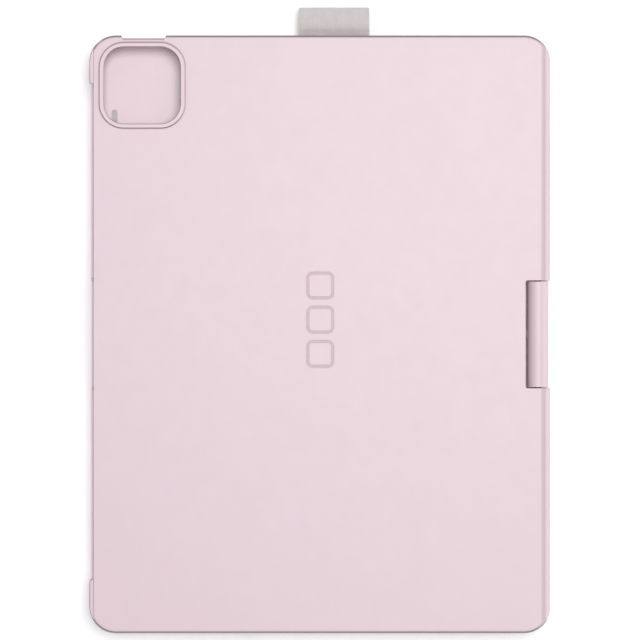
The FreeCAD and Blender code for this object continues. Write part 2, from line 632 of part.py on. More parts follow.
def make_swivel_seat():
    """The parts of the swivel that stay with the base."""
    body = new_body("swivel_bushing", HINGE)
    add(body, washer_outline("bushing_radius - 0.02", "post_radius + post_fit"), "boss_bottom", "deck_top")
    body = new_body("thrust_washer", HINGE)
    add(body, washer_outline("washer_radius", "post_radius + 0.2"), "deck_top", "collar_bottom - 0.1")
    body = new_body("hinge_bracket_plate", HINGE)
    low = "boss_bottom - bracket_thickness"
    add(body, rounded("bracket_length", "bracket_width", "2"), low, "boss_bottom", (0, "bracket_shift"))
    cut(body, disc("post_radius + 0.3"), low + " - 1", "boss_bottom + 1")
    screw_at = ("-bracket_screw_spread / 2", "bracket_shift")
    hole = cut(body, disc("1.0"), low + " - 1", "boss_bottom + 1", screw_at)
    repeat(body, [hole], "X", "bracket_screw_spread", 2)
    body = new_body("hinge_screws", HINGE)
    for side in (-1, 1):
        at = ("%d * bracket_screw_spread / 2" % side, "bracket_shift")
        add(body, disc("1.7"), low + " - 0.8", low, at)
        add(body, disc("0.68"), low + " - 0.4", "boss_bottom + 1.9", at)
    body = new_body("wave_washer", HINGE)
    washer = washer_outline("post_radius + 0.9", "post_radius + 0.3")
    add(body, washer, "groove_top + 0.02", low + " - 0.02")


def make_hinge_block():
    """The parts that turn with the swivel: core and post, barrel cover, friction clips, retaining clip."""
    half_core = "core_length / 2"
    body = new_body("hinge_core", HINGE)
    add(body, disc("core_radius"), "-" + half_core, half_core, (0, AXIS_Z), "X")
    add(body, disc("post_radius"), "post_bottom", AXIS_Z)
    add(body, disc("collar_radius"), "collar_bottom", "collar_top")
    cut(body, washer_outline("post_radius + 1", "groove_radius"), "groove_bottom", "groove_top")
    bore = disc("axle_radius + axle_fit")
    cut(body, bore, "%s - 5" % half_core, "%s + 1" % half_core, (0, AXIS_Z), "X")
    cut(body, bore, "-%s - 1" % half_core, "-%s + 5" % half_core, (0, AXIS_Z), "X")
    body = new_body("hinge_barrel_cover", HINGE)
    add(body, disc("barrel_radius"), "-barrel_length / 2", "barrel_length / 2", (0, AXIS_Z), "X")
    inside = "(barrel_length / 2 - barrel_end)"
    cut(body, disc("barrel_bore"), "-" + inside, inside, (0, AXIS_Z), "X")
    cut(body, disc("axle_radius + 0.3"), "-barrel_length", "barrel_length", (0, AXIS_Z), "X")
    cut(body, disc("post_radius + 0.1"), "collar_top - 1", AXIS_Z)
    for side, name in ((-1, "torque_clip_left"), (1, "torque_clip_right")):
        body = new_body(name, HINGE)
        start = "%d * (core_length / 2 + 0.2 + clip_length / 2) - clip_length / 2" % side
        ring = washer_outline("clip_radius", "axle_radius + axle_fit")
        add(body, ring, start, start + " + clip_length", (0, AXIS_Z), "X")
        slit_centre = (0, AXIS_Z + " + clip_radius / 2 + 0.6")
        cut(body, rounded("clip_slit", "clip_radius", "0.2"), start + " - 1", start + " + clip_length + 1",
            slit_centre, "X")
    body = new_body("swivel_retaining_clip", HINGE)
    ring = washer_outline("ring_clip_radius", "groove_radius + 0.02")
    add(body, ring, "groove_bottom + 0.03", "groove_top - 0.03")
    mouth_centre = (0, "-ring_clip_radius + 0.4")
    cut(body, rounded("2.4", "3", "0.3"), "groove_bottom - 1", "groove_top + 1", mouth_centre)


def make_lid_ears():
    """Metal inserts in the lid's spine and the axles that they hold."""
    for side, name in ((-1, "left"), (1, "right")):
        notch = "notch_length / 2"
        ends = sorted([notch, notch + " + ear_length"], reverse=side < 0, key=value)
        low, high = ["%d * (%s)" % (side, rule) for rule in ends]
        body = new_body("lid_ear_insert_" + name, HINGE)
        add(body, washer_outline("ear_radius", "axle_radius"), low, high, (0, AXIS_Z), "X")
        reach = sorted([notch + " - axle_reach", notch + " + ear_length"], reverse=side < 0, key=value)
        low, high = ["%d * (%s)" % (side, rule) for rule in reach]
        body = new_body("tilt_axle_" + name, HINGE)
        add(body, disc("axle_radius"), low, high, (0, AXIS_Z), "X")


# ---------------------------------------------------------------- lid

LID_SIDE = "case_length / 2"
ABOVE_LID = "lid_top + %r" % MARGIN
BELOW_LID = "lid_bottom - %r" % MARGIN
CEILING = "lid_top - plate_thickness"
POCKET_Y = "front_wall + tablet_width / 2 + tablet_gap - case_depth / 2"


def make_lid_shell():
    """Tray that holds the tablet: back plate, walls, full-round rear spine, notch and openings."""
    body = new_body("lid_shell")
    add(body, rounded("case_length", "case_depth", "corner_radius"), "lid_bottom", "lid_top")
    round_edges(body, "lid_edge_round", at_height("lid_top"))
    round_edges(body, "lid_rim_round", at_height("lid_bottom"))
    spine = "(lid_top - lid_bottom) / 2"
    cut(body, outside_half_round(spine, "2"), "-%s - 1" % LID_SIDE, LID_SIDE + " + 1",
        ("case_depth / 2 - %s" % spine, AXIS_Z), "X")
    pocket = rounded("tablet_length + 2 * tablet_gap", "tablet_width + 2 * tablet_gap", "pocket_corner")
    cut(body, pocket, BELOW_LID, CEILING, (0, POCKET_Y))
    cut(body, rounded("front_opening", "10", "1.2"), BELOW_LID, ABOVE_LID,
        ("front_opening_x", "front_wall - case_depth / 2 - 5"))
    front_step = rounded("case_length + 2", "2 * front_wall", "0.3")
    cut(body, front_step, "lid_top - front_wall_drop", ABOVE_LID, (0, "-case_depth / 2"))
    add_lips(body)
    cut_lid_walls(body)
    notch = rounded("notch_length", "2 * notch_depth", "0.8")
    cut(body, notch, BELOW_LID, ABOVE_LID, (0, "case_depth / 2"))
    reach = "(notch_length / 2 + ear_length)"
    cut(body, disc("ear_radius"), "-" + reach, reach, ("case_depth / 2 - hinge_inset", AXIS_Z), "X")
    add_camera_ring(body)
    mark = frame_outline("mark_size", "mark_size", "3", "mark_stroke")
    square = cut(body, mark, "lid_top - mark_depth", ABOVE_LID, ("mark_x - mark_pitch", 0))
    repeat(body, [square], "X", "mark_pitch", 3)


def add_lips(body):
    """Four small lips at the mouth of the pocket that the tablet snaps under."""
    inward = "tablet_width / 2 + tablet_gap - lip_depth / 2 + 0.2"
    lip = rounded("lip_length", "lip_depth + 0.4", "0.5")
    for side, x in ((-1, "lip_front_x"), (1, "lip_rear_x")):
        for sign in (-1, 1):
            at = ("%d * %s" % (sign, x), "%s + (%d) * (%s)" % (POCKET_Y, side, inward))
            add(body, lip, "lid_bottom", "lid_bottom + lip_height", at)


def cut_lid_walls(body):
    """Openings in the two short walls: button, connector and speaker slots."""
    inner = "tablet_length / 2 - 1"
    mid = "(lid_bottom + %s) / 2" % CEILING
    window = rounded("button_cut - 2.4", "20", "1")
    cut(body, window, "-%s - 1" % LID_SIDE, "-(%s)" % inner, ("button_y", CEILING + " - 10"), "X")
    dip = rounded("2 * button_dip", "button_cut", "button_dip - 0.02")
    cut(body, dip, BELOW_LID, ABOVE_LID, ("-" + LID_SIDE, "button_y"))
    port = rounded("port_cut", "port_cut_height", "2.4")
    cut(body, port, inner, LID_SIDE + " + 1", ("side_cut_y", mid), "X")
    slot = rounded("speaker_cut", "speaker_cut_height", "speaker_cut_height / 2 - 0.02")
    for sign in (-1, 1):
        at = ("%d * speaker_spread + side_cut_y" % sign, mid)
        cut(body, slot, "-%s - 1" % LID_SIDE, LID_SIDE + " + 1", at, "X")


def add_camera_ring(body):
    """Raised rim around the camera opening with a fine groove outside it, and the opening."""
    at = ("camera_x", "camera_y")
    top = "lid_top + camera_ring_height"
    groove_size = "camera_ring + 2 * camera_groove"
    groove = rounded(groove_size, groove_size, "camera_ring_corner + camera_groove")
    cut(body, groove, "lid_top - camera_groove_depth", ABOVE_LID, at)
    add(body, rounded("camera_ring", "camera_ring", "camera_ring_corner"), "lid_top - 0.5", top, at)
    cut(body, rounded("camera_hole", "camera_hole", "camera_hole_corner"), CEILING + " - 1", top + " + 1", at)
    round_edges(body, "0.4", at_height(top))


def make_lid_liner():
    """Soft sheet that the tablet's back rests on."""
    body = new_body("lid_liner")
    low = CEILING + " - liner_thickness"
    add(body, rounded("tablet_length - 1", "tablet_width - 1", "liner_corner"), low, CEILING, (0, POCKET_Y))
    hole = rounded("camera_hole + 1.2", "camera_hole + 1.2", "camera_hole_corner + 0.6")
    cut(body, hole, low + " - 1", CEILING + " + 1", ("camera_x", "camera_y"))


# ---------------------------------------------------------------- build, check and write

def check_model():
    """Stops if any object failed or any sub-part is empty or invalid."""
    for item in doc.Objects:
        if "Invalid" in item.State or "Error" in item.State:
            raise RuntimeError("%s failed: %s" % (item.Label, item.State))
    for node in nodes:
        if node.Shape.isNull() or not node.Shape.isValid() or not node.Shape.Solids:
            raise RuntimeError("%s has no valid solid" % node.Label)


def write_parts():
    """Writes one STEP file per sub-part."""
    os.makedirs("parts", exist_ok=True)
    for node in nodes:
        node.Shape.exportStep("parts/%s.step" % node.Label)
        print("%-24s %2d solids %10.1f mm3" % (node.Label, len(node.Shape.Solids), node.Shape.Volume))


sheet = make_sheet()
make_base_deck()
make_bottom_cover()
make_cover_screws()
make_feet()
make_bumper_strips()
make_pen_loop()
make_key_mechanism()
make_electronics()
make_charging_socket()
make_power_switch()
make_trackpad()
make_swivel_seat()
make_hinge_block()
make_lid_ears()
make_lid_shell()
make_lid_liner()
for key_run in KEY_RUNS:
    make_keys(key_run)
doc.recompute()
check_model()
write_parts()
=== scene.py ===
"""Looks of the tablet keyboard case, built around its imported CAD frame. Metres, +Z up.

+X is the typist's right, -Y the front edge. The camera looks straight down with -X at the top of its picture.
"""

import json
import math

import bmesh
import bpy
from mathutils import Matrix, Vector


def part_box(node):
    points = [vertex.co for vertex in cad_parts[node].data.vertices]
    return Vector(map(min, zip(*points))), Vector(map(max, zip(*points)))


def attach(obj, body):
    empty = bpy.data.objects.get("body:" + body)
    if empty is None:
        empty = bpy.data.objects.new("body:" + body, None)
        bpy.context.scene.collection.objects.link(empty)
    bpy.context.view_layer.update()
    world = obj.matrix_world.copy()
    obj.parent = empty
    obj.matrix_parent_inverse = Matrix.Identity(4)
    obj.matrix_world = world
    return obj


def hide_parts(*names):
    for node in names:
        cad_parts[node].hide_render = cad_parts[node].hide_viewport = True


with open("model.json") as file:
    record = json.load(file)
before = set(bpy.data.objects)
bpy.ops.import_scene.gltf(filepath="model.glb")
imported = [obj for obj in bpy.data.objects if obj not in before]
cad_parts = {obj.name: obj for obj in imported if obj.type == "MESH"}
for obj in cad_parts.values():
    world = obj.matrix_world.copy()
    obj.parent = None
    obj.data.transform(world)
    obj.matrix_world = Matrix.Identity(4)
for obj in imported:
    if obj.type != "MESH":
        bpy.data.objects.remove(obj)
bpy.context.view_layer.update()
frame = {"nodes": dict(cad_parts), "record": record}
MM = 0.001
scene = bpy.context.scene
NODES = frame["nodes"]
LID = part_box("lid_shell")
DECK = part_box("base_deck")
CASE_X = (LID[0].x + LID[1].x) / 2    # middle of the case between its two ends
PLATE_TOP = LID[1].z - 0.5 * MM       # the lid's flat top, below the camera rim
KEY_SPACE = 2 * MM                    # gap between neighbouring key caps

PINK = (0.60, 0.470, 0.509)
KEY_PINK = (0.72, 0.585, 0.63)
SILVER_GREY = (0.70, 0.665, 0.645)
DECK_PAINTED_LIGHT_TINT = (1.10, 1.11, 1.11)        # painted light: makes the base's shell paler than the lid's, to brighten it where it lies in the lid's shade
PAINTED_EDGE_SHADE_TINT = (0.38, 0.39, 0.38)     # painted shade that greys the rounding of the lid's upper edges
SHELL_ROUGHNESS = 0.4
SHELL_GRAIN = 0.012 * MM

# Sockets of a Mix node in its colour mode.
MIX_SHARE, MIX_FIRST, MIX_SECOND, MIX_RESULT = 0, 6, 7, 2


# ---------------------------------------------------------------- camera, floor and light

def look_down_camera():
    """A camera straight above the case, turned so that the hinge is at the right of the picture."""
    distance, picture_width = 1.0, 0.26993     # the picture's width at the height of the lid's top
    aim_left = 6.05 * MM                       # makes room for the pen loop on the typist's left
    data = bpy.data.cameras.new("camera")
    data.sensor_width = 36.0
    data.lens = data.sensor_width * distance / picture_width
    camera = bpy.data.objects.new("camera", data)
    camera.location = (CASE_X - aim_left, 0, LID[1].z + distance)
    camera.rotation_euler = (0, 0, math.pi / 2)
    scene.collection.objects.link(camera)
    scene.camera = camera


def soft_light(name, place, size, power, shape="RECTANGLE"):
    """A softbox at a place, facing the object."""
    data = bpy.data.lights.new(name, "AREA")
    data.shape = shape
    data.size = size[0]
    if shape == "RECTANGLE":
        data.size_y = size[1]
    data.energy = power
    light = bpy.data.objects.new(name, data)
    light.location = place
    light.rotation_euler = (-Vector(place)).to_track_quat("-Z", "Y").to_euler()
    scene.collection.objects.link(light)


def studio():
    """White floor, a round softbox overhead, low strips behind, in front and at the right end, a soft sky."""
    mesh = bpy.data.meshes.new("floor")
    half = 6.0
    corners = [(-half, -half, 0), (half, -half, 0), (half, half, 0), (-half, half, 0)]
    mesh.from_pydata(corners, [], [(0, 1, 2, 3)])
    floor = bpy.data.objects.new("floor", mesh)
    scene.collection.objects.link(floor)
    mesh.materials.append(floor_material())
    soft_light("overhead", (-0.27, 0.24, 2.0), (1.3,), 34, "DISK")
    soft_light("hinge_side", (0.0, 1.5, 0.25), (1.3, 0.3), 7)
    soft_light("front_fill", (0.0, -1.5, 0.2), (1.6, 0.3), 6)
    soft_light("end_fill", (1.5, 0.0, 0.3), (0.3, 1.3), 4)
    world = bpy.data.worlds.new("studio")
    world.use_nodes = True
    background = world.node_tree.nodes["Background"]
    background.inputs["Color"].default_value = (0.95, 0.96, 1.0, 1)
    background.inputs["Strength"].default_value = 0.38
    scene.world = world
    scene.view_settings.view_transform = "Standard"


# ---------------------------------------------------------------- material helpers

def new_material(name, base, roughness, **settings):
    """A material, its node tree and its main shader, with constant settings on the shader's own sockets."""
    material = bpy.data.materials.new(name)
    material.use_nodes = True
    tree = material.node_tree
    shader = tree.nodes["Principled BSDF"]
    shader.inputs["Base Color"].default_value = (*base, 1)
    shader.inputs["Roughness"].default_value = roughness
    for key, setting in settings.items():
        shader.inputs[key.replace("_", " ")].default_value = setting
    return material, tree, shader


def add_node(tree, kind, settings=None, **inputs):
    """A node with its settings and its input values or links."""
    node = tree.nodes.new(kind)
    for key, setting in (settings or {}).items():
        setattr(node, key, setting)
    for key, source in inputs.items():
        socket = node.inputs[key.replace("_", " ")]
        if isinstance(source, bpy.types.NodeSocket):
            tree.links.new(source, socket)
        else:
            socket.default_value = source
    return node


def place_in(tree, scale=(1, 1, 1)):
    """Coordinates in metres in the row frame, stretched by a scale."""
    coordinates = add_node(tree, "ShaderNodeTexCoord").outputs["Object"]
    mapping = add_node(tree, "ShaderNodeMapping", Vector=coordinates)
    mapping.inputs["Scale"].default_value = scale
    return mapping.outputs["Vector"]


def noise(tree, vector, scale, detail=3.0, roughness=0.5):
    """Smooth noise."""
    return add_node(tree, "ShaderNodeTexNoise", Vector=vector, Scale=scale, Detail=detail,
                    Roughness=roughness).outputs["Fac"]


def waves(tree, vector, period, direction, distortion=0.0):
    """Parallel bands along one axis, as a sine of the given period in metres."""
    radians_per_unit = 20     # how fast Blender's wave texture runs at scale 1
    scale = 2 * math.pi / (radians_per_unit * period)
    settings = {"bands_direction": direction, "wave_profile": "SIN"}
    return add_node(tree, "ShaderNodeTexWave", settings, Vector=vector, Scale=scale,
                    Distortion=distortion).outputs["Fac"]


def ramp(tree, source, stops):
    """A colour ramp with the given (position, colour) stops."""
    node = add_node(tree, "ShaderNodeValToRGB", Fac=source)
    elements = node.color_ramp.elements
    elements[0].position = stops[0][0]
    elements[1].position = stops[-1][0]
    for position, _ in stops[1:-1]:
        elements.new(position)
    for element, (_, colour) in zip(elements, stops):
        element.color = (*colour, 1)
    return node.outputs["Color"]


def spread(tree, source, low, high):
    """Maps 0..1 to low..high."""
    return add_node(tree, "ShaderNodeMapRange", Value=source, To_Min=low, To_Max=high).outputs["Result"]


def combine(tree, operation, first, second):
    """Arithmetic on two values."""
    node = add_node(tree, "ShaderNodeMath", {"operation": operation})
    for socket, source in zip(node.inputs, (first, second)):
        if isinstance(source, bpy.types.NodeSocket):
            tree.links.new(source, socket)
        else:
            socket.default_value = source
    return node.outputs["Value"]


def blend_colours(tree, share, first, second):
    """One colour turning into another by a share from 0 to 1."""
    node = add_node(tree, "ShaderNodeMix", {"data_type": "RGBA"})
    for index, source in ((MIX_SHARE, share), (MIX_FIRST, first), (MIX_SECOND, second)):
        if isinstance(source, bpy.types.NodeSocket):
            tree.links.new(source, node.inputs[index])
        else:
            node.inputs[index].default_value = (*source, 1)
    return node.outputs[MIX_RESULT]


def relief(tree, shader, height, distance):
    """Fine relief on the shader from a height of 0..1 that stands for a distance in metres."""
    node = add_node(tree, "ShaderNodeBump", Height=height, Distance=distance)
    tree.links.new(node.outputs["Normal"], shader.inputs["Normal"])


def tinted(base, tint):
    """A colour multiplied by a tint."""
    return tuple(channel * factor for channel, factor in zip(base, tint))


def shades(base, low, high):
    """A darker and a lighter version of a colour."""
    return [tuple(min(1.0, channel * factor) for channel in base) for factor in (low, high)]


def inside_box(tree, low, high):
    """1 inside a box of the row frame and 0 outside it."""
    coordinates = add_node(tree, "ShaderNodeTexCoord").outputs["Object"]
    split = add_node(tree, "ShaderNodeSeparateXYZ", Vector=coordinates)
    share = 1.0
    for axis, output in enumerate(split.outputs):
        test = add_node(tree, "ShaderNodeMath", {"operation": "COMPARE"})
        tree.links.new(output, test.inputs[0])
        test.inputs[1].default_value = (low[axis] + high[axis]) / 2
        test.inputs[2].default_value = (high[axis] - low[axis]) / 2
        share = combine(tree, "MULTIPLY", test.outputs["Value"], share)
    return share


def painted_edge_shade_share(tree):
    """Share of painted shade: 1 on the upper edges' rounding but for the rear, faint on the rear spine's
    inner half, 0 elsewhere.
    """
    normal = add_node(tree, "ShaderNodeTexCoord").outputs["Normal"]
    split = add_node(tree, "ShaderNodeSeparateXYZ", Vector=normal)
    black, faint, white = (0, 0, 0), (0.24, 0.24, 0.24), (1, 1, 1)
    steep = ramp(tree, split.outputs["Z"], [(0.0, black), (0.1, white), (0.88, white), (0.97, black)])
    not_rear = ramp(tree, split.outputs["Y"], [(0.2, white), (0.4, black)])
    sideways = combine(tree, "ABSOLUTE", split.outputs["X"], 0.0)
    not_spine = combine(tree, "MAXIMUM", not_rear, ramp(tree, sideways, [(0.4, black), (0.5, white)]))
    spine_painted_shade = ramp(tree, split.outputs["Y"], [(0.05, black), (0.12, faint), (0.48, faint), (0.6, black)])
    return combine(tree, "MAXIMUM", combine(tree, "MULTIPLY", steep, not_spine), spine_painted_shade)


def edge_share(tree, width):
    """Close to 1 on an outer edge and 0 on flat ground, from how far a bevelled normal leans."""
    bevel = add_node(tree, "ShaderNodeBevel", {"samples": 4}, Radius=width).outputs["Normal"]
    flat = add_node(tree, "ShaderNodeNewGeometry").outputs["Normal"]
    lean = add_node(tree, "ShaderNodeVectorMath", {"operation": "DOT_PRODUCT"})
    tree.links.new(bevel, lean.inputs[0])
    tree.links.new(flat, lean.inputs[1])
    return ramp(tree, lean.outputs["Value"], [(0.80, (1, 1, 1)), (0.97, (0, 0, 0))])


# ---------------------------------------------------------------- materials

def floor_material():
    """Plain white sweep."""
    material, tree, shader = new_material("floor", (0.95, 0.95, 0.95), 0.9)
    shade = ramp(tree, noise(tree, place_in(tree), 3.0), [(0.3, (0.945,) * 3), (0.7, (0.955,) * 3)])
    tree.links.new(shade, shader.inputs["Base Color"])
    return material


def satin_plastic(name, base, roughness, grain, edges=True, outline=False, painted_shade_boxes=()):
    """Moulded plastic: faint cloudiness, fine spark texture and paler polished edges.

    An outline greys the rounded upper edges with painted shade, and each of the painted shade boxes is a box
    and the tint of the shade painted in it.
    """
    material, tree, shader = new_material(name, base, roughness)
    at = place_in(tree)
    darker, lighter = shades(base, 0.985, 1.01)
    colour = ramp(tree, noise(tree, at, 160.0, 5.0, 0.6), [(0.3, darker), (0.7, lighter)])
    gloss = spread(tree, noise(tree, at, 90.0, 5.0, 0.6), roughness - 0.03, roughness + 0.05)
    if edges:
        edge = edge_share(tree, 0.35 * MM)
        colour = blend_colours(tree, edge, colour, tinted(base, (1.06,) * 3))
        gloss = combine(tree, "SUBTRACT", gloss, combine(tree, "MULTIPLY", edge, 0.08))
    # Painted shade: greys the rounded upper edges and, faintly, the rear spine's inner half.
    if outline:
        colour = blend_colours(tree, painted_edge_shade_share(tree), colour, tinted(base, PAINTED_EDGE_SHADE_TINT))
    # Painted shade: each box darkens the colour inside it by its tint.
    for low, high, tint in painted_shade_boxes:
        colour = blend_colours(tree, inside_box(tree, low, high), colour, tinted(base, tint))
    tree.links.new(colour, shader.inputs["Base Color"])
    tree.links.new(gloss, shader.inputs["Roughness"])
    relief(tree, shader, noise(tree, at, 4200.0, 2.0, 0.6), grain)
    return material


def elastic_weave(name, base):
    """Ribbed elastic: ribs across the loop's width and fine yarns along it."""
    material, tree, shader = new_material(name, base, 0.75, Sheen_Weight=0.35, Sheen_Roughness=0.4)
    at = place_in(tree)
    ribs = waves(tree, at, 0.65 * MM, "Y")
    yarns = waves(tree, at, 0.42 * MM, "X", 0.6)
    threads = waves(tree, at, 0.35 * MM, "Y", 0.4)
    soft_ribs = combine(tree, "MULTIPLY", ribs, 0.5)
    crossings = combine(tree, "MULTIPLY", yarns, threads)
    weave = combine(tree, "ADD", soft_ribs, crossings)
    darker, lighter = shades(base, 0.86, 1.06)
    woven = ramp(tree, weave, [(0.1, darker), (0.9, lighter)])
    tired = ramp(tree, noise(tree, at, 260.0, 4.0), [(0.35, (0.94,) * 3), (0.65, (1, 1, 1))])
    node = add_node(tree, "ShaderNodeMix", {"data_type": "RGBA", "blend_type": "MULTIPLY"})
    node.inputs[MIX_SHARE].default_value = 1.0
    tree.links.new(woven, node.inputs[MIX_FIRST])
    tree.links.new(tired, node.inputs[MIX_SECOND])
    tree.links.new(node.outputs[MIX_RESULT], shader.inputs["Base Color"])
    tree.links.new(spread(tree, weave, 0.85, 0.62), shader.inputs["Roughness"])
    relief(tree, shader, weave, 0.08 * MM)
    return material


def microfibre(name, base):
    """Short soft nap with brushed patches."""
    material, tree, shader = new_material(name, base, 0.95, Sheen_Weight=0.6, Sheen_Roughness=0.35)
    at = place_in(tree)
    nap = noise(tree, at, 1500.0, 4.0, 0.7)
    brushed = noise(tree, place_in(tree, (1, 2, 1)), 140.0, 5.0, 0.65)
    darker, lighter = shades(base, 0.88, 1.06)
    mixed = combine(tree, "ADD", combine(tree, "MULTIPLY", nap, 0.6), combine(tree, "MULTIPLY", brushed, 0.4))
    colour = ramp(tree, mixed, [(0.35, darker), (0.65, lighter)])
    tree.links.new(colour, shader.inputs["Base Color"])
    tree.links.new(spread(tree, brushed, 0.85, 1.0), shader.inputs["Roughness"])
    relief(tree, shader, nap, 0.05 * MM)
    return material


def soft_rubber(name, base):
    """Moulded rubber with fine pores and dusty wear."""
    material, tree, shader = new_material(name, base, 0.8)
    at = place_in(tree)
    dust = noise(tree, at, 120.0, 5.0, 0.6)
    darker, lighter = shades(base, 0.88, 1.12)
    tree.links.new(ramp(tree, dust, [(0.35, darker), (0.7, lighter)]), shader.inputs["Base Color"])
    tree.links.new(spread(tree, dust, 0.72, 0.92), shader.inputs["Roughness"])
    relief(tree, shader, noise(tree, at, 2600.0, 3.0), 0.03 * MM)
    return material


def brushed_metal(name, base, roughness, along=(1, 30, 30)):
    """Metal with fine lines drawn one way, and faint stains."""
    material, tree, shader = new_material(name, base, roughness, Metallic=1.0)
    lines = noise(tree, place_in(tree, along), 900.0, 4.0, 0.7)
    stains = noise(tree, place_in(tree), 90.0, 4.0)
    darker, lighter = shades(base, 0.85, 1.08)
    tree.links.new(ramp(tree, stains, [(0.3, darker), (0.7, lighter)]), shader.inputs["Base Color"])
    tree.links.new(spread(tree, lines, roughness - 0.08, roughness + 0.12), shader.inputs["Roughness"])
    relief(tree, shader, lines, 0.01 * MM)
    return material


def circuit_board(name, base):
    """Solder mask with copper runs showing through."""
    material, tree, shader = new_material(name, base, 0.4)
    at = place_in(tree)
    across = waves(tree, at, 2.2 * MM, "X", 1.5)
    along = waves(tree, at, 3.1 * MM, "Y", 1.5)
    runs = combine(tree, "MAXIMUM", across, along)
    darker, lighter = shades(base, 0.7, 1.6)
    tree.links.new(ramp(tree, runs, [(0.86, darker), (0.93, lighter)]), shader.inputs["Base Color"])
    tree.links.new(spread(tree, noise(tree, at, 400.0), 0.3, 0.5), shader.inputs["Roughness"])
    relief(tree, shader, runs, 0.02 * MM)
    return material


def thin_film(name, base, roughness):
    """Plastic film or foil wrap with soft creases."""
    material, tree, shader = new_material(name, base, roughness)
    at = place_in(tree)
    creases = noise(tree, at, 70.0, 6.0, 0.65)
    darker, lighter = shades(base, 0.9, 1.08)
    tree.links.new(ramp(tree, creases, [(0.35, darker), (0.65, lighter)]), shader.inputs["Base Color"])
    tree.links.new(spread(tree, creases, roughness - 0.06, roughness + 0.1), shader.inputs["Roughness"])
    relief(tree, shader, creases, 0.08 * MM)
    return material


def printed_ink(name, base):
    """Legend ink, slightly uneven and rubbed."""
    material, tree, shader = new_material(name, base, 0.5)
    at = place_in(tree)
    rubbed = noise(tree, at, 900.0, 4.0)
    darker, lighter = shades(base, 0.9, 1.1)
    tree.links.new(ramp(tree, rubbed, [(0.3, darker), (0.7, lighter)]), shader.inputs["Base Color"])
    tree.links.new(spread(tree, rubbed, 0.42, 0.6), shader.inputs["Roughness"])
    relief(tree, shader, rubbed, 0.004 * MM)
    return material


def opening(name):
    """The corners of one of the record's openings."""
    boxes = {item["name"]: item["box_m"] for item in frame["record"]["physics"]["openings"]}
    return [Vector(corner) for corner in boxes[name]]


def camera_centre():
    """The middle of the camera opening."""
    low, high = opening("camera_opening")
    return (low + high) / 2


def lid_painted_shade_boxes():
    """Boxes and tints of painted shade: in the pressed mark, around the camera groove, at the corner walls'
    step, along the button dip's edge.
    """
    shallow, deep = PLATE_TOP - 0.06 * MM, PLATE_TOP - 3 * MM
    mark_low = (CASE_X - 29 * MM, -7 * MM, deep)
    mark_high = (CASE_X + 17 * MM, 7 * MM, shallow)
    camera = camera_centre()
    reach = 19 * MM
    groove_low = (camera.x - reach, camera.y - reach, deep)
    groove_high = (camera.x + reach, camera.y + reach, shallow)
    step_y = LID[0].y + 2 * MM
    step_low = (LID[0].x, step_y - 0.35 * MM, PLATE_TOP - 0.55 * MM)
    step_high = (LID[1].x, step_y, shallow)
    button_low, button_high = opening("power_button_opening")
    dip_x = LID[0].x + 1.35 * MM
    dip_low = (dip_x, button_low.y - MM, deep)
    dip_high = (dip_x + 0.8 * MM, button_high.y + MM, PLATE_TOP + MM)
    # Painted shade: darker in the pressed mark's strokes, darker and rosier in the camera ring's groove and
    # on the opening's walls, a shadow line at the foot of the corner walls' step, a grey line along the
    # button dip's edge.
    return [
        (mark_low, mark_high, (0.83, 0.80, 0.81)),
        (groove_low, groove_high, (0.78, 0.66, 0.70)),
        (step_low, step_high, (0.62, 0.58, 0.60)),
        (dip_low, dip_high, (0.55, 0.54, 0.55)),
    ]


def make_materials():
    """One material for each of the record's slots, one each for the lid's and base's shells (with painted
    shade on the lid's and painted light on the base's), and ink.
    """
    return {
        "case_plastic": satin_plastic("case_plastic", PINK, SHELL_ROUGHNESS, SHELL_GRAIN),
        "deck_plastic_painted_light": satin_plastic("deck_plastic_painted_light", tinted(PINK, DECK_PAINTED_LIGHT_TINT), SHELL_ROUGHNESS, SHELL_GRAIN),
        "lid_plastic_painted_shade": satin_plastic("lid_plastic_painted_shade", PINK, SHELL_ROUGHNESS, SHELL_GRAIN, outline=True,
                                     painted_shade_boxes=lid_painted_shade_boxes()),
        "key_plastic": satin_plastic("key_plastic", KEY_PINK, 0.5, 0.02 * MM),
        "trackpad_surface": satin_plastic("trackpad_surface", tinted(PINK, (0.96,) * 3), 0.3, 0.006 * MM),
        "rubber": soft_rubber("rubber", (0.42, 0.40, 0.40)),
        "elastic_weave": elastic_weave("elastic_weave", tinted(SILVER_GREY, (0.86,) * 3)),
        "liner_fabric": microfibre("liner_fabric", (0.58, 0.425, 0.47)),
        "steel": brushed_metal("steel", (0.58, 0.58, 0.6), 0.3),
        "dark_steel": brushed_metal("dark_steel", (0.06, 0.05, 0.055), 0.45, (30, 1, 30)),
        "plated_steel": brushed_metal("plated_steel", (0.6, 0.6, 0.57), 0.4),
        "hinge_metal": brushed_metal("hinge_metal", (0.66, 0.62, 0.63), 0.35, (30, 30, 1)),
        "film": thin_film("film", (0.55, 0.5, 0.4), 0.25),
        "white_plastic": satin_plastic("white_plastic", (0.72, 0.72, 0.7), 0.45, 0.01 * MM, edges=False),
        "soft_rubber": soft_rubber("soft_rubber", (0.66, 0.66, 0.64)),
        "circuit_board": circuit_board("circuit_board", (0.02, 0.11, 0.05)),
        "black_plastic": satin_plastic("black_plastic", (0.02, 0.02, 0.02), 0.45, 0.01 * MM, edges=False),
        "battery_foil": thin_film("battery_foil", (0.5, 0.5, 0.52), 0.35),
        "light_window": satin_plastic("light_window", (0.8, 0.8, 0.78), 0.2, 0.004 * MM, edges=False),
        "magnet_metal": brushed_metal("magnet_metal", (0.7, 0.7, 0.7), 0.2),
        "ink": printed_ink("ink", (0.16, 0.115, 0.13)),
    }


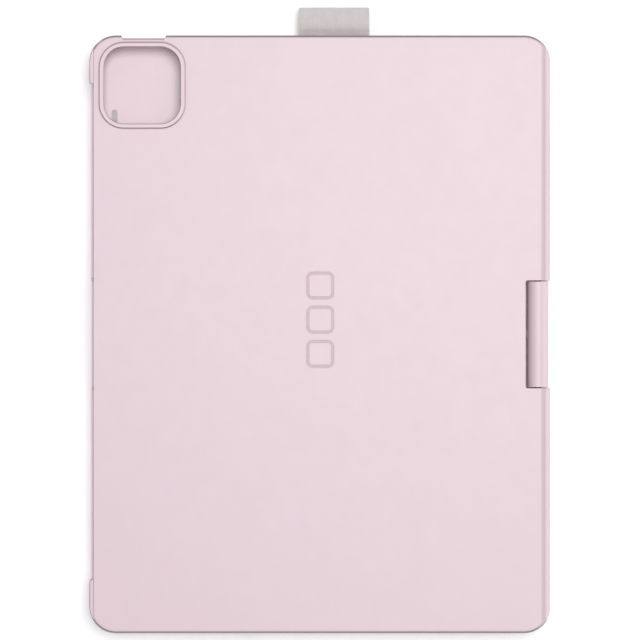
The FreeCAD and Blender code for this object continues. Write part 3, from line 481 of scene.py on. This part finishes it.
def dress_cad_nodes():
    """Gives every CAD node the material of its slot in the record, and the two shells their own."""
    for subpart in frame["record"]["subparts"]:
        slots = NODES[subpart["node"]].data.materials
        slots.clear()
        slots.append(MATERIALS[subpart["material_slot"]])
    # The base's shell gets the paler copy of the shell plastic, which paints light on it where it lies in the
    # lid's shade.
    NODES["base_deck"].data.materials[0] = MATERIALS["deck_plastic_painted_light"]
    # The lid's shell gets the plastic with painted shade on its edges and in its boxes.
    NODES["lid_shell"].data.materials[0] = MATERIALS["lid_plastic_painted_shade"]


# ---------------------------------------------------------------- mesh helpers

def finish_piece(name, mesh_data, material, body, smooth=True):
    """Links a bmesh as a piece that rides on a body."""
    mesh = bpy.data.meshes.new(name)
    bmesh.ops.recalc_face_normals(mesh_data, faces=mesh_data.faces)
    mesh_data.to_mesh(mesh)
    mesh_data.free()
    piece = bpy.data.objects.new(name, mesh)
    scene.collection.objects.link(piece)
    mesh.materials.append(MATERIALS[material])
    if smooth:
        mesh.shade_smooth()
    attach(piece, body)
    return piece


def smooth_path(points, steps):
    """Points on a Catmull-Rom curve through an open list of points."""
    ends = [2 * points[0] - points[1], *points, 2 * points[-1] - points[-2]]
    path = []
    for before, start, end, after in zip(ends, ends[1:], ends[2:], ends[3:]):
        for step in range(steps):
            t = step / steps
            path.append(0.5 * (2 * start + (end - before) * t
                               + (2 * before - 5 * start + 4 * end - after) * t * t
                               + (3 * start - before - 3 * end + after) * t ** 3))
    path.append(points[-1])
    return path


def rounded_loop(centre, length, width, radius, steps=12):
    """Points around a rounded rectangle."""
    points = []
    inner_x, inner_y = length / 2 - radius, width / 2 - radius
    for quarter, (sign_x, sign_y) in enumerate([(1, 1), (-1, 1), (-1, -1), (1, -1)]):
        corner = Vector((centre[0] + sign_x * inner_x, centre[1] + sign_y * inner_y))
        for step in range(steps + 1):
            angle = (quarter + step / steps) * math.pi / 2
            points.append(corner + radius * Vector((math.cos(angle), math.sin(angle))))
    return points


# ---------------------------------------------------------------- pen loop

def pen_loop():
    """Elastic strap that leaves the base's slot, goes round the pen and comes back, ribbed along its run."""
    low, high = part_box("pen_loop")
    side = DECK[0].x
    width = high.y - low.y
    middle = (low.z + high.z) / 2
    thick, rib_height, selvage_width = 0.9 * MM, 0.03 * MM, 0.7 * MM
    thinnest = 0.25     # squared share of the thickness that is left at the strap's long edges
    top, bottom = high.z - thick / 2, low.z + thick / 2
    nose = side - low.x - thick / 2
    # Distance out from the base's side and height, from the slot's upper lip round to its lower lip.
    outline = [(-1.6 * MM, middle + 0.5 * MM), (0.4 * MM, middle + 0.55 * MM), (2.2 * MM, middle + 1.5 * MM),
               (4.2 * MM, top - 0.45 * MM), (6.6 * MM, top), (9.2 * MM, top - 0.7 * MM),
               (nose - 0.35 * MM, middle + 1.4 * MM), (nose, middle - 0.1 * MM),
               (nose - 0.5 * MM, middle - 1.7 * MM), (8.8 * MM, bottom + 0.55 * MM),
               (6.2 * MM, bottom), (3.9 * MM, bottom + 0.5 * MM), (2.0 * MM, middle - 1.5 * MM),
               (0.4 * MM, middle - 0.55 * MM), (-1.6 * MM, middle - 0.5 * MM)]
    path = smooth_path([Vector((side - out, 0, height)) for out, height in outline], 8)
    ribs, per_rib = 46, 4
    across = ribs * per_rib
    mesh = bmesh.new()
    rings = []
    for index, point in enumerate(path):
        ahead = path[min(index + 1, len(path) - 1)] - path[max(index - 1, 0)]
        outward = Vector((ahead.z, 0, -ahead.x)).normalized()
        ring = []
        for face_side in (1, -1):
            for step in range(across + 1):
                share = step / across if face_side == 1 else 1 - step / across
                rib = rib_height * math.cos(2 * math.pi * ribs * share)
                selvage = min(share, 1 - share) * width / selvage_width
                taper = math.sqrt(min(1.0, thinnest + (1 - thinnest) * selvage))
                offset = face_side * (thick / 2 * taper - rib_height + rib * min(1.0, selvage))
                centre = Vector((point.x, low.y + share * width, point.z))
                ring.append(mesh.verts.new(centre + outward * offset))
        rings.append(ring)
    for ring, following in zip(rings, rings[1:]):
        for index in range(len(ring)):
            after = (index + 1) % len(ring)
            mesh.faces.new((ring[index], ring[after], following[after], following[index]))
    for ring in (rings[0], rings[-1]):
        half = len(ring) // 2
        for index in range(half - 1):
            mesh.faces.new((ring[index], ring[index + 1], ring[-2 - index], ring[-1 - index]))
    piece = finish_piece("pen_loop_strap", mesh, "elastic_weave", "base")
    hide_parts("pen_loop")


# ---------------------------------------------------------------- lid liner

def lid_liner():
    """Microfibre sheet glued inside the lid, with rounded corners and the camera opening."""
    low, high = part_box("lid_liner")
    length, width, corner = high.x - low.x, high.y - low.y, 8.6 * MM
    hole_size, hole_corner = 33.8 * MM, 9.2 * MM
    clearance = 0.01 * MM     # on both faces, inside the solid that it stands for
    outer = rounded_loop((low + high) / 2, length, width, corner)
    hole = rounded_loop(camera_centre(), hole_size, hole_size, hole_corner)
    mesh = bmesh.new()
    edges = []
    for points in (outer, hole):
        verts = [mesh.verts.new((x, y, high.z - clearance)) for x, y in points]
        edges += [mesh.edges.new((verts[i - 1], verts[i])) for i in range(len(verts))]
    bmesh.ops.triangle_fill(mesh, use_beauty=True, use_dissolve=False, edges=edges)
    top = mesh.faces[:]
    extruded = bmesh.ops.extrude_face_region(mesh, geom=top)
    moved = [item for item in extruded["geom"] if isinstance(item, bmesh.types.BMVert)]
    bmesh.ops.translate(mesh, verts=moved, vec=(0, 0, low.z - high.z + 2 * clearance))
    piece = finish_piece("lid_liner_cloth", mesh, "liner_fabric", "lid", smooth=False)
    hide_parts("lid_liner")


# ---------------------------------------------------------------- key legends

INK_BOTTOM, INK_TOP = 0.004 * MM, 0.02 * MM     # heights above a key cap's top
NAME_SIZE = 3.6 * MM
ARROW_SIZE = 1.1 * MM


def row_centres(node, count):
    """Centres of the equal key caps in a node, from left to right."""
    low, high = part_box(node)
    pitch = (high.x - low.x + KEY_SPACE) / count
    middle = (low.y + high.y) / 2
    return [Vector((low.x + (index + 0.5) * pitch - KEY_SPACE / 2, middle, high.z)) for index in range(count)]


def add_text(mesh, text, place, size):
    """Adds flat lettering to a bmesh, readable from the front of the keyboard."""
    curve = bpy.data.curves.new("lettering", "FONT")
    curve.body = text
    curve.size = size
    curve.align_x, curve.align_y = "CENTER", "CENTER"
    curve.space_line = 1.15
    curve.extrude = (INK_TOP - INK_BOTTOM) / 2
    curve.resolution_u = 3
    lettering = bpy.data.objects.new("lettering", curve)
    scene.collection.objects.link(lettering)
    bpy.context.view_layer.update()
    flat = bpy.data.meshes.new_from_object(lettering)
    flat.transform(Matrix.Translation(place + Vector((0, 0, (INK_TOP + INK_BOTTOM) / 2))))
    mesh.from_mesh(flat)
    bpy.data.objects.remove(lettering)
    bpy.data.meshes.remove(flat)


def add_arrow(mesh, place, angle, size):
    """Adds a small raised triangle that points along an angle."""
    wing = 2.3     # radians from the tip round to each other corner
    corners = []
    for turn in (0.0, wing, -wing):
        direction = Vector((math.cos(angle + turn), math.sin(angle + turn), 0))
        corners.append(place + direction * size)
    top = [mesh.verts.new(corner + Vector((0, 0, INK_TOP))) for corner in corners]
    low = [mesh.verts.new(corner + Vector((0, 0, INK_BOTTOM))) for corner in corners]
    mesh.faces.new(top)
    mesh.faces.new(low[::-1])
    for index in range(len(corners)):
        mesh.faces.new((top[index - 1], top[index], low[index], low[index - 1]))


# What each run of equal keys says, from left to right, and the letters' size in millimetres.
ROW_LEGENDS = {
    "keys_function_row": (["esc"] + ["F%d" % number for number in range(1, 13)] + ["lock"], 3.3),
    "keys_number_row": ("~\n` !\n1 @\n2 #\n3 $\n4 %\n5 ^\n6 &\n7 *\n8 (\n9 )\n0 _\n- +\n=".split(" "), 3.7),
    "keys_upper_letter_row": (list("QWERTYUIOP") + ["{\n[", "}\n]", "|\n\\"], 4.9),
    "keys_home_letter_row": (list("ASDFGHJKL") + [":\n;", "\"\n'"], 4.9),
    "keys_lower_letter_row": (list("ZXCVBNM") + ["<\n,", ">\n.", "?\n/"], 4.9),
}
SINGLE_LEGENDS = {
    "key_delete": "delete", "key_tab": "tab", "key_caps": "caps", "key_enter": "enter",
    "key_shift_left": "shift", "key_shift_right": "shift", "key_fn": "fn", "key_control": "ctrl",
    "key_alt_left": "alt", "key_alt_right": "alt", "key_command_left": "cmd", "key_command_right": "cmd",
}
# The way each arrow points, in radians.
ARROWS = {"key_arrow_left": math.pi, "key_arrow_right": 0.0, "key_arrow_up": math.pi / 2,
          "key_arrow_down": -math.pi / 2}


def key_legends():
    """Printed legends, one piece per key node, each riding on its own keys."""
    for node, (texts, size) in ROW_LEGENDS.items():
        mesh = bmesh.new()
        for text, centre in zip(texts, row_centres(node, len(texts))):
            add_text(mesh, text, centre, size * MM)
        finish_piece("legends_" + node, mesh, "ink", node, smooth=False)
    for node, text in SINGLE_LEGENDS.items():
        mesh = bmesh.new()
        add_text(mesh, text, row_centres(node, 1)[0], NAME_SIZE)
        finish_piece("legend_" + node, mesh, "ink", node, smooth=False)
    for node, angle in ARROWS.items():
        mesh = bmesh.new()
        add_arrow(mesh, row_centres(node, 1)[0], angle, ARROW_SIZE)
        finish_piece("legend_" + node, mesh, "ink", node, smooth=False)


def homing_bars():
    """Two small raised bars, on F and J, that the typist's forefingers feel for."""
    half_length, half_width, height = 1.8 * MM, 0.35 * MM, 0.22 * MM
    in_front = 4.6 * MM       # from the middle of the key to the bar
    bluntness, smallest = 6, 0.05
    steps = 8
    letters = ROW_LEGENDS["keys_home_letter_row"][0]
    centres = row_centres("keys_home_letter_row", len(letters))
    mesh = bmesh.new()
    for letter in "FJ":
        place = centres[letters.index(letter)] + Vector((0, -in_front, 0))
        start = place + Vector((-half_length, 0, 0))
        end = place + Vector((half_length, 0, 0))
        rings = []
        for step in range(steps + 1):
            share = step / steps
            swell = math.sqrt(max(0.0, 1 - (2 * share - 1) ** bluntness))
            ring = []
            for turn in range(steps + 1):
                angle = math.pi * turn / steps
                offset = Vector((0, half_width * math.cos(angle), height * math.sin(angle)))
                ring.append(mesh.verts.new(start.lerp(end, share) + offset * max(swell, smallest)))
            rings.append(ring)
        for ring, following in zip(rings, rings[1:]):
            for turn in range(steps):
                mesh.faces.new((ring[turn], ring[turn + 1], following[turn + 1], following[turn]))
            mesh.faces.new((ring[steps], ring[0], following[0], following[steps]))
        mesh.faces.new(rings[0])
        mesh.faces.new(rings[-1][::-1])
    finish_piece("homing_bars", mesh, "key_plastic", "keys_home_letter_row")


# ---------------------------------------------------------------- build

look_down_camera()
studio()
MATERIALS = make_materials()
dress_cad_nodes()
pen_loop()
lid_liner()
key_legends()
homing_bars()
